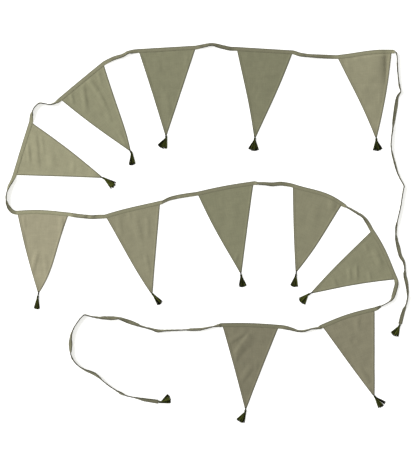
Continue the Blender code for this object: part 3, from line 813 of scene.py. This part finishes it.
def tapeSections(make):
    # the tape's own directions and thickness at even steps along the route, and how far it is
    # open: 0 closed, 1 around a pennant
    route = tapeStations(make)
    sections = []
    for index in range(len(route) - 1):
        start, startRoll, startOpen, startShade, startNumber = route[index]
        end, endRoll, endOpen, endShade, endNumber = route[index + 1]
        number = startNumber or endNumber
        before = route[index - 1][0] if index else start * 2 - end
        after = route[index + 2][0] if index + 2 < len(route) else end * 2 - start
        bySpace = round((end - start).length / make["step"])
        steps = max(1, bySpace, math.ceil(abs(endRoll - startRoll) / make["rollStep"]))
        for step in range(steps):
            share = step / steps
            place = curvePlace(before, start, end, after, share)
            roll = mixed(startRoll, endRoll, smooth(share))
            opened = mixed(startOpen, endOpen, smooth(share))
            shade = mixed(startShade, endShade, smooth(share))
            # painted twist shade: a loose run's tone wanders along it
            spot = Vector((len(sections) / make["wanderSections"], 3.0, 1.0))
            wander = noise.noise(spot) * make["paintedTwistShade"]
            shade *= 1 + wander * (1 - opened)
            sections.append(dict(zip(sectionKeys, (place, roll, opened, shade, number))))
    sections.append(dict(zip(sectionKeys, route[-1])))
    run = 0.0
    for index, section in enumerate(sections):
        ahead = sections[min(index + 1, len(sections) - 1)]["place"]
        behind = sections[max(index - 1, 0)]["place"]
        travel = (ahead - section["place"]).normalized() + (section["place"] - behind).normalized()
        travel.normalize()
        turn = math.radians(section["roll"])
        left = Vector((-travel.y, travel.x, 0.0))
        up = Vector((0.0, 0.0, 1.0))
        section["across"] = left * math.cos(turn) + up * math.sin(turn)
        section["through"] = up * math.cos(turn) - left * math.sin(turn)
        thick = mixed(make["looseThickness"], make["seatThickness"], section["opened"]) / 2
        section["thick"] = thick
        section["gap"] = mixed(make["looseGap"], make["seatGap"], section["opened"]) / 2
        section["widen"] = mixed(make["looseWiden"], 1.0, section["opened"])
        half = section["widen"] * make["width"] / 2
        height = half * abs(math.sin(turn)) + thick * abs(math.cos(turn))
        section["centre"] = Vector((*section["place"], height))
        run += (section["place"] - behind).length if index else 0.0
        section["run"] = run
    return sections


def tapeProfile(make, thick, gap):
    # the folded strip's outline as (across, through), from its open edge round the fold and
    # back, then its inside. thick and gap are half the strip's thickness and half its hollow.
    half = make["width"] / 2
    bend = make["foldRound"]
    stitch = half - make["stitchIn"]
    edge = make["layerEdge"]
    insideStart, insideFull = make["foldInside"]
    outside = [
        (half, thick - edge),
        (half - edge, thick),
        (stitch + make["stitchDent"], thick),
        (stitch, thick - make["stitchSink"]),
        (stitch - make["stitchDent"], thick),
        (half * 0.3, thick + make["plump"]),
        (-half * 0.4, thick + make["plump"]),
        (-half + bend, thick),
        (-half + bend * 0.35, thick * 0.8),
        (-half, thick * 0.25),
    ]
    inside = [
        (half, gap),
        (stitch, gap),
        (-half + insideFull, gap),
        (-half + insideStart, gap * 0.5),
    ]
    outsideUnder = [(across, -through) for across, through in outside]
    insideUnder = [(across, -through) for across, through in reversed(inside)]
    return outsideUnder + outside[::-1] + inside + insideUnder


def tapePlace(make, section, across, through):
    # a point of the strip, across and through it from its middle. The strip is smooth round a
    # pennant, where it follows the creases, and a little crumpled where it lies loose.
    runSize, acrossSize, throughSize = make["crimpSize"]
    spot = Vector((section["run"] / runSize, across / acrossSize, through / throughSize))
    crimp = noise.noise(spot) * make["crimp"]
    runSize, acrossSize = make["crumpleSize"]
    spot = Vector((section["run"] / runSize, across / acrossSize, 7.0))
    crumple = noise.noise(spot) * (1 - section["opened"])
    place = section["centre"] + section["across"] * across * section["widen"]
    place += section["through"] * (through + make["crumple"] * crumple)
    if section["number"]:
        crease = creaseHeight(section["number"], place.xy)
        place.z += pennantMake["throughTape"] * section["opened"] * crease
    place.z = max(place.z + crimp, 0.0)
    return place


def makeTape(make):
    sections = tapeSections(make)
    profile = [tapeProfile(make, section["thick"], section["gap"]) for section in sections]
    corners = len(profile[0])
    bm = bmesh.new()
    sectionOf = bm.verts.layers.int.new("sectionOf")
    cornerOf = bm.verts.layers.int.new("cornerOf")
    foldGap = bm.verts.layers.float.new("foldGap")
    openGap = bm.verts.layers.float.new("openGap")
    looseOpenGap = bm.verts.layers.float.new("looseOpenGap")
    stitchGap = bm.verts.layers.float.new("stitchGap")
    localShade = bm.verts.layers.float.new("localShade")
    bmesh.ops.create_grid(bm, x_segments=len(sections) - 1, y_segments=corners, size=0.5)
    half = make["width"] / 2
    stitch = half - make["stitchIn"]
    for vert in bm.verts:
        index = round((vert.co.x + 0.5) * (len(sections) - 1))
        corner = round((vert.co.y + 0.5) * corners)
        section = sections[index]
        across, through = profile[index][corner % corners]
        vert.co = inFrame(tapePlace(make, section, across, through))
        vert[sectionOf] = index
        vert[cornerOf] = corner
        # distances for the painted shade along the tape's edges and stitch row
        vert[foldGap] = (half + across) * mm
        vert[openGap] = (half - across) * mm
        vert[looseOpenGap] = (half - across + make["shadeReach"] * section["opened"]) * mm
        vert[stitchGap] = abs(across - stitch) * mm
        # the tone along the tape, with its painted light and twist shade
        vert[localShade] = section["shade"]
    uvLayer = bm.loops.layers.uv.new("tapeUv")
    lengths = [0.0]
    outline = [Vector(corner) for corner in profile[0]]
    for one, other in zip(outline, outline[1:] + outline[:1]):
        lengths.append(lengths[-1] + (other - one).length)
    for face in bm.faces:
        for loop in face.loops:
            run = sections[loop.vert[sectionOf]]["run"]
            loop[uvLayer].uv = (run * mm, lengths[loop.vert[cornerOf]] * mm)
    bmesh.ops.remove_doubles(bm, verts=bm.verts, dist=1e-6)
    openEnds = [edge for edge in bm.edges if edge.is_boundary]
    bmesh.ops.holes_fill(bm, edges=openEnds, sides=corners)
    bmesh.ops.recalc_face_normals(bm, faces=bm.faces)
    for layer in ("sectionOf", "cornerOf"):
        bm.verts.layers.int.remove(bm.verts.layers.int[layer])
    return bm, sections


# The tape is the same cotton folded lengthwise, so it looks a shade deeper where it is doubled
tapeCloth = {
    **cottonCloth,
    "threadSpacing": 1.2,
    "slubLength": 22.0,
    "washPatch": 14.0,
    "paintedEdgeShade": 0.45,
    "shade": 0.97,
    "faded": 0.3,
}
tapeMaterial = makeClothMaterial(
    "foldedSageCottonTape",
    tapeCloth,
    tapeCloth["shade"],
    tapeCloth["faded"],
    "tapeUv",
    tapeMake["darkEdges"],
    "localShade",
)
bm, sections = makeTape(tapeMake)
tape = finishPiece(bm, "foldedTape", tapeMaterial, ["tape"])


def strandsPiece(name, strands, material, nodes, sides=1):
    # each strand is a list of (place in layout millimetres, radius in millimetres) and a tone,
    # and sides 0 gives it four corners, 1 six
    curve = bpy.data.curves.new(name, "CURVE")
    curve.dimensions = "3D"
    curve.bevel_depth = mm
    curve.bevel_resolution = sides
    for points, _ in strands:
        spline = curve.splines.new("POLY")
        spline.points.add(len(points) - 1)
        for point, (place, radius) in zip(spline.points, points):
            point.co = (*inFrame(place), 1.0)
            point.radius = radius
    holder = bpy.data.objects.new(name + "Line", curve)
    bpy.context.scene.collection.objects.link(holder)
    mesh = bpy.data.meshes.new_from_object(holder.evaluated_get(bpy.context.evaluated_depsgraph_get()))
    bpy.data.objects.remove(holder)
    bpy.data.curves.remove(curve)
    rings = sum(len(points) for points, _ in strands)
    around = len(mesh.vertices) // rings
    tones = []
    runs = []
    for points, tone in strands:
        run = 0.0
        for at, (place, _) in enumerate(points):
            run += (Vector(place) - Vector(points[at - 1][0])).length if at else 0.0
            tones += [tone] * around
            for turn in range(around):
                runs += [run * mm, turn / around * tasselYarn["plyTurn"] * mm, 0.0]
    mesh.attributes.new("strandTone", "FLOAT", "POINT").data.foreach_set("value", tones)
    mesh.attributes.new("strandRun", "FLOAT_VECTOR", "POINT").data.foreach_set("vector", runs)
    bm = bmesh.new()
    bm.from_mesh(mesh)
    bpy.data.meshes.remove(mesh)
    openEnds = [edge for edge in bm.edges if edge.is_boundary]
    bmesh.ops.holes_fill(bm, edges=openEnds, sides=around)
    bmesh.ops.recalc_face_normals(bm, faces=bm.faces)
    finishPiece(bm, name, material, nodes)


# Cotton sewing thread a shade deeper than the cloth, in one row along the tape's open edge,
# showing on both faces. Each stitch goes into the tape at its ends and stands proud between them.
stitching = {
    "spacing": 3.2,
    "length": 2.5,
    "radius": 0.24,
    "endRadius": 0.132,
    "endSink": 0.22,
    "middleRise": 0.16,
    "tones": (0.3, 0.5, 0.7),
    "colour": "#6E6C50",
    "pale": "#8A896B",
}


def tapeStitches(sections, make, stitch):
    strands = []
    across = make["width"] / 2 - make["stitchIn"]
    runs = [section["run"] for section in sections]
    count = int(runs[-1] / stitch["spacing"])

    def onTape(run, side, sink):
        at = min(bisect.bisect(runs, run), len(sections) - 1)
        share = (run - runs[at - 1]) / (runs[at] - runs[at - 1])
        places = []
        for section in sections[at - 1:at + 1]:
            through = side * (section["thick"] - make["stitchSink"] - sink)
            places.append(tapePlace(make, section, across, through))
        place = mixed(*places, share)
        place.z = max(place.z, stitch["radius"])
        return place

    for side in (1, -1):
        for index in range(1, count - 1):
            middle = (index + (0.5 if side < 0 else 0.0)) * stitch["spacing"]
            half = stitch["length"] / 2
            points = [
                (onTape(middle - half, side, stitch["endSink"]), stitch["endRadius"]),
                (onTape(middle, side, -stitch["middleRise"]), stitch["radius"]),
                (onTape(middle + half, side, stitch["endSink"]), stitch["endRadius"]),
            ]
            strands.append((points, stitch["tones"][index % 3]))
    return strands


threadMaterial = makeYarnMaterial("sageSewingThread", tasselYarn, stitching["colour"], stitching["pale"])
strandsPiece(
    "tapeStitching", tapeStitches(sections, tapeMake, stitching), threadMaterial, [], sides=0
)
print("stitches made")

# hangsFrom is a pennant's number or a tape end. reach is from there to the skirt's root in the
# direction neckHeading, and the skirt fans out halfSpread to each side of its own heading. glow is
# how much brighter its middle is. A slit is at slitAt, from -1 to 1 across the skirt.
tasselKeys = (
    "hangsFrom", "neckHeading", "reach", "heading", "halfSpread", "length",
    "glow", "slitAt", "slitWidth",
)
tassels = [dict(zip(tasselKeys, row)) for row in (
    (1, -87, 11.4, -81, 25, 31, 0.0, 0.5, 0.0),
    (2, -96, 9.5, -97, 25, 33, 0.0, 0.5, 0.0),
    (3, -85, 10.0, -115, 24, 34, 0.0, 0.5, 0.0),
    (4, -57, 11.5, -88, 13, 36, 0.0, 0.5, 0.0),
    (5, -25, 12.6, -37, 17, 37, 0.45, 0.5, 0.0),
    (6, -98, 19.0, -95, 12, 33, 0.0, 0.5, 0.0),
    (7, -48, 9.5, -51, 13, 33, 0.0, 0.5, 0.0),
    (8, -82, 13.6, -82, 18, 31, 0.0, 0.5, 0.0),
    (9, -97, 16.5, -99, 17, 32, 0.0, 0.55, 0.15),
    (10, -153, 16.0, -132, 24, 31, 0.0, 0.5, 0.0),
    (11, -55, 9.5, -48, 22, 34, 0.0, 0.3, 0.15),
    (12, -97, 12.4, -118, 20, 34, 0.0, 0.5, 0.0),
    ("rightTie", -113, 8.2, -119, 22, 32, 0.0, 0.5, 0.0),
    ("leftTie", -8, 8.2, 24, 25, 31, 0.0, 0.5, 0.0),
)]
# The outer strands run up over the head to the neck, and the inner ones end inside it. The
# outlines are (millimetres before the skirt's root, share of the radius).
tasselMake = {
    "outerStrands": 40,
    "innerStrands": 96,
    "strandRadius": 0.58,
    "strandUneven": (0.85, 1.12),
    "headRadius": 3.0,
    "headOutline": ((-7.4, 0.4), (-6.5, 0.7333), (-5.0, 1.0), (-3.6, 0.8)),
    "waistRadius": 2.3,
    "waistOutline": ((-2.2, 1.0), (-0.8, 1.1)),
    "angleLoose": 0.2,  # radians
    "innerFill": (0.02, 0.8),
    "fanWiden": 1.15,
    "fanLoose": 0.3,
    "headingLoose": 1.2,  # degrees
    "rootWidth": 2.6,
    "rootHeight": 4.2,
    "tipHeight": 2.6,
    "wave": 0.3,
    "cutLonger": 1.02,
    "ragged": 0.07,
    "sideShorter": 0.06,
    "curl": 1.1,
    "strandStops": (0.12, 0.3, 0.5, 0.7, 0.86, 1.0),  # shares of a strand's length
    "endSlim": 0.88,
    "locks": 9,
    "lockRagged": 0.15,
    "lockLoose": 0.3,  # how far a strand strays from its lock, 1 for not held at all
    # painted shade: the strands low in the skirt, under the others, are drawn dark, and painted light makes
    # the locked ones paler the higher they lie
    "lockLevel": 0.45,  # the strands under this share of the height lie loose and dark
    "underShadeTone": 0.16,
    "lockContrast": 1.5,
    "strandTones": (0.4, 1.5),
    "windings": 4,
    "windingSteps": 10,
    "windingRadius": 0.42,
    "windingOut": 0.55,
    "windingFrom": -3.0,
    "windingLength": 1.9,
    "windingTone": 0.1,
    "neckRadius": 1.3,
    "neckInto": 1.6,  # how far the neck starts back on the cloth
    "headLength": 7.0,
    "neckRise": 0.5,
    "neckTone": 0.08,
    "plyApart": 1.0,
    "neckTurn": 4.2,  # millimetres along the neck for one turn of its two plies
    "startOnTape": 1.4,  # the neck's height where it starts
    "startOnTip": 0.8,
}
goldenShare = 0.381966  # of a turn, which spreads the strands evenly round the head


def tasselStrands(number, tassel, make):
    chance = random.Random(number)
    if tassel["hangsFrom"] == "rightTie":
        anchor, startHeight = Vector(rightTie[0][:2]), make["startOnTape"]
    elif tassel["hangsFrom"] == "leftTie":
        anchor, startHeight = Vector(leftTie[-1][:2]), make["startOnTape"]
    else:
        anchor, startHeight = Vector(pennants[tassel["hangsFrom"] - 1]["tip"]), make["startOnTip"]
    neck = headingVector(tassel["neckHeading"])
    side = headingVector(tassel["neckHeading"] + 90)
    root = anchor + neck * tassel["reach"]
    middleHeight = make["headRadius"]

    def nearHead(back, radius, angle):
        # a place round the head, back millimetres before the skirt's root
        ground = root + neck * back + side * radius * math.cos(angle)
        return Vector((*ground, max(middleHeight + radius * math.sin(angle), make["strandRadius"])))

    def strayed(most):
        return chance.uniform(-most, most)

    # the locks: where each lies across the skirt, how long it is and how bright
    locks = []
    for at in range(make["locks"]):
        across = mixed(-1.0, 1.0, (at + chance.uniform(0.3, 0.7)) / make["locks"])
        locks.append((across, 1 - make["lockRagged"] * chance.random(), chance.random()))
    strands = []
    for index in range(make["outerStrands"] + make["innerStrands"]):
        outer = index < make["outerStrands"]
        angle = 2 * math.pi * (index * goldenShare) + strayed(make["angleLoose"])
        fill = 1.0 if outer else math.sqrt(chance.uniform(*make["innerFill"]))
        lateral = fill * math.cos(angle)
        level = 0.5 + 0.5 * fill * math.sin(angle)
        spread = max(-1.0, min(1.0, lateral * make["fanWiden"] + strayed(make["fanLoose"])))
        reach = 1 - make["ragged"] * chance.random()
        # painted shade, kept unless the strand joins a lock
        tone = make["underShadeTone"] * chance.random()
        if level > make["lockLevel"]:
            lockAt, lockReach, lockTone = min(locks, key=lambda lock: abs(lock[0] - spread))
            spread = mixed(lockAt, spread, make["lockLoose"])
            reach *= lockReach
            # painted light: a locked strand is paler the higher it lies
            tone = lockTone ** make["lockContrast"] * (0.3 + 0.7 * level)
            tone *= chance.uniform(*make["strandTones"])
            tone += tassel["glow"] * (1 - abs(spread))
        if abs(spread - tassel["slitAt"]) < tassel["slitWidth"]:
            spread = tassel["slitAt"] + math.copysign(tassel["slitWidth"], spread - tassel["slitAt"])
        heading = tassel["heading"] + tassel["halfSpread"] * spread + strayed(make["headingLoose"])
        outward = headingVector(heading)
        across = headingVector(heading + 90)
        length = tassel["length"] * (reach - make["sideShorter"] * spread ** 2) * make["cutLonger"]
        radius = make["strandRadius"] * chance.uniform(*make["strandUneven"])
        curl = chance.uniform(-1, 1) * make["curl"]
        points = []
        if outer:
            for back, head in make["headOutline"]:
                points.append((nearHead(back, make["headRadius"] * head, angle), radius))
        for back, waist in make["waistOutline"]:
            points.append((nearHead(back, make["waistRadius"] * waist * fill, angle), radius))
        base = root + side * lateral * make["rootWidth"]
        for at in make["strandStops"]:
            ground = base + outward * length * at + across * curl * math.sin(math.pi * at) * at
            high = mixed(make["rootHeight"], make["tipHeight"], smooth(at)) - 2 * radius
            height = radius + high * level + make["wave"] * math.sin(5 * at + index)
            slim = make["endSlim"] if at == 1.0 else 1.0
            points.append((Vector((*ground, max(height, radius * slim))), radius * slim))
        strands.append((points, tone))
    # the binding under the head
    windings = []
    windingRadius = make["waistRadius"] + make["windingOut"]
    lastWinding = make["windings"] * make["windingSteps"]
    for at in range(lastWinding + 1):
        angle = 2 * math.pi * at / make["windingSteps"]
        back = make["windingFrom"] + make["windingLength"] * at / lastWinding
        windings.append((nearHead(back, windingRadius, angle), make["windingRadius"]))
    strands.append((windings, make["windingTone"]))
    # the neck's two plies
    neckEnd = tassel["reach"] - make["headLength"]
    turns = (neckEnd + make["neckInto"]) / make["neckTurn"]
    for ply in (0.0, math.pi):
        cord = []
        steps = max(4, round(6 * turns))
        for at in range(steps + 1):
            share = at / steps
            angle = ply + 2 * math.pi * share * turns
            ground = anchor + neck * mixed(-make["neckInto"], neckEnd, share)
            ground += side * make["plyApart"] * math.cos(angle)
            height = mixed(startHeight, middleHeight, smooth(share)) + make["neckRise"] * math.sin(angle)
            cord.append((Vector((*ground, max(height, make["neckRadius"]))), make["neckRadius"]))
        strands.append((cord, make["neckTone"]))
    return strands


yarnMaterial = makeYarnMaterial("darkOliveTasselYarn", tasselYarn, tasselYarn["deep"], tasselYarn["bright"])
for number, tassel in enumerate(tassels, start=1):
    strandsPiece(
        f"tasselYarn{number:02d}",
        tasselStrands(number, tassel, tasselMake),
        yarnMaterial,
        [f"tassel_{number:02d}"],
    )
print("14 tassels made")

studio = {
    # matt drawing paper, a wide pale sheet: no gloss and hardly any shadow
    "floorColour": "#F4F4F2",
    "floorRoughness": 0.95,
    "floorShine": 0.1,
    "floorGlow": 0.6,  # the paper is lit from under too, so that it shows no grey shadows
    "floorSize": 16.0,
    "floorDrop": 0.0004,  # so that it doesn't flicker through the cloth that lies on it
    "skyStrength": 0.45,
    "keyStrength": 2.6,  # a large softbox, far off at the left and a little above
    "keyFrom": (-0.74, 0.30, 0.62),
    "keySoftness": 30.0,
}


def makeFloor(setup):
    bm = bmesh.new()
    bmesh.ops.create_grid(bm, x_segments=1, y_segments=1, size=setup["floorSize"] / 2)
    bmesh.ops.translate(bm, vec=(0, 0, -setup["floorDrop"]), verts=bm.verts)
    mesh = bpy.data.meshes.new("studioFloor")
    bm.to_mesh(mesh)
    bm.free()
    colour = toLinear(setup["floorColour"])
    shaderValues = {
        "Base Color": colour,
        "Roughness": setup["floorRoughness"],
        "Specular IOR Level": setup["floorShine"],
        "Emission Color": colour,
        "Emission Strength": setup["floorGlow"],
    }
    mesh.materials.append(newMaterial("paleStudioPaper", shaderValues)[0])
    floor = bpy.data.objects.new("studioFloor", mesh)
    bpy.context.scene.collection.objects.link(floor)


def makeLights(setup):
    world = bpy.data.worlds.new("evenStudioLight")
    world.use_nodes = True
    background = world.node_tree.nodes["Background"]
    background.inputs["Color"].default_value = (1.0, 1.0, 1.0, 1.0)
    background.inputs["Strength"].default_value = setup["skyStrength"]
    bpy.context.scene.world = world
    light = bpy.data.lights.new("softboxUpperLeft", "SUN")
    light.energy = setup["keyStrength"]
    light.angle = math.radians(setup["keySoftness"])
    softbox = bpy.data.objects.new("softboxUpperLeft", light)
    softbox.rotation_euler = Vector(setup["keyFrom"]).to_track_quat("Z", "Y").to_euler()
    bpy.context.scene.collection.objects.link(softbox)
    bpy.context.scene.view_settings.view_transform = "Standard"


makeFloor(studio)
makeLights(studio)
print("floor and light set")
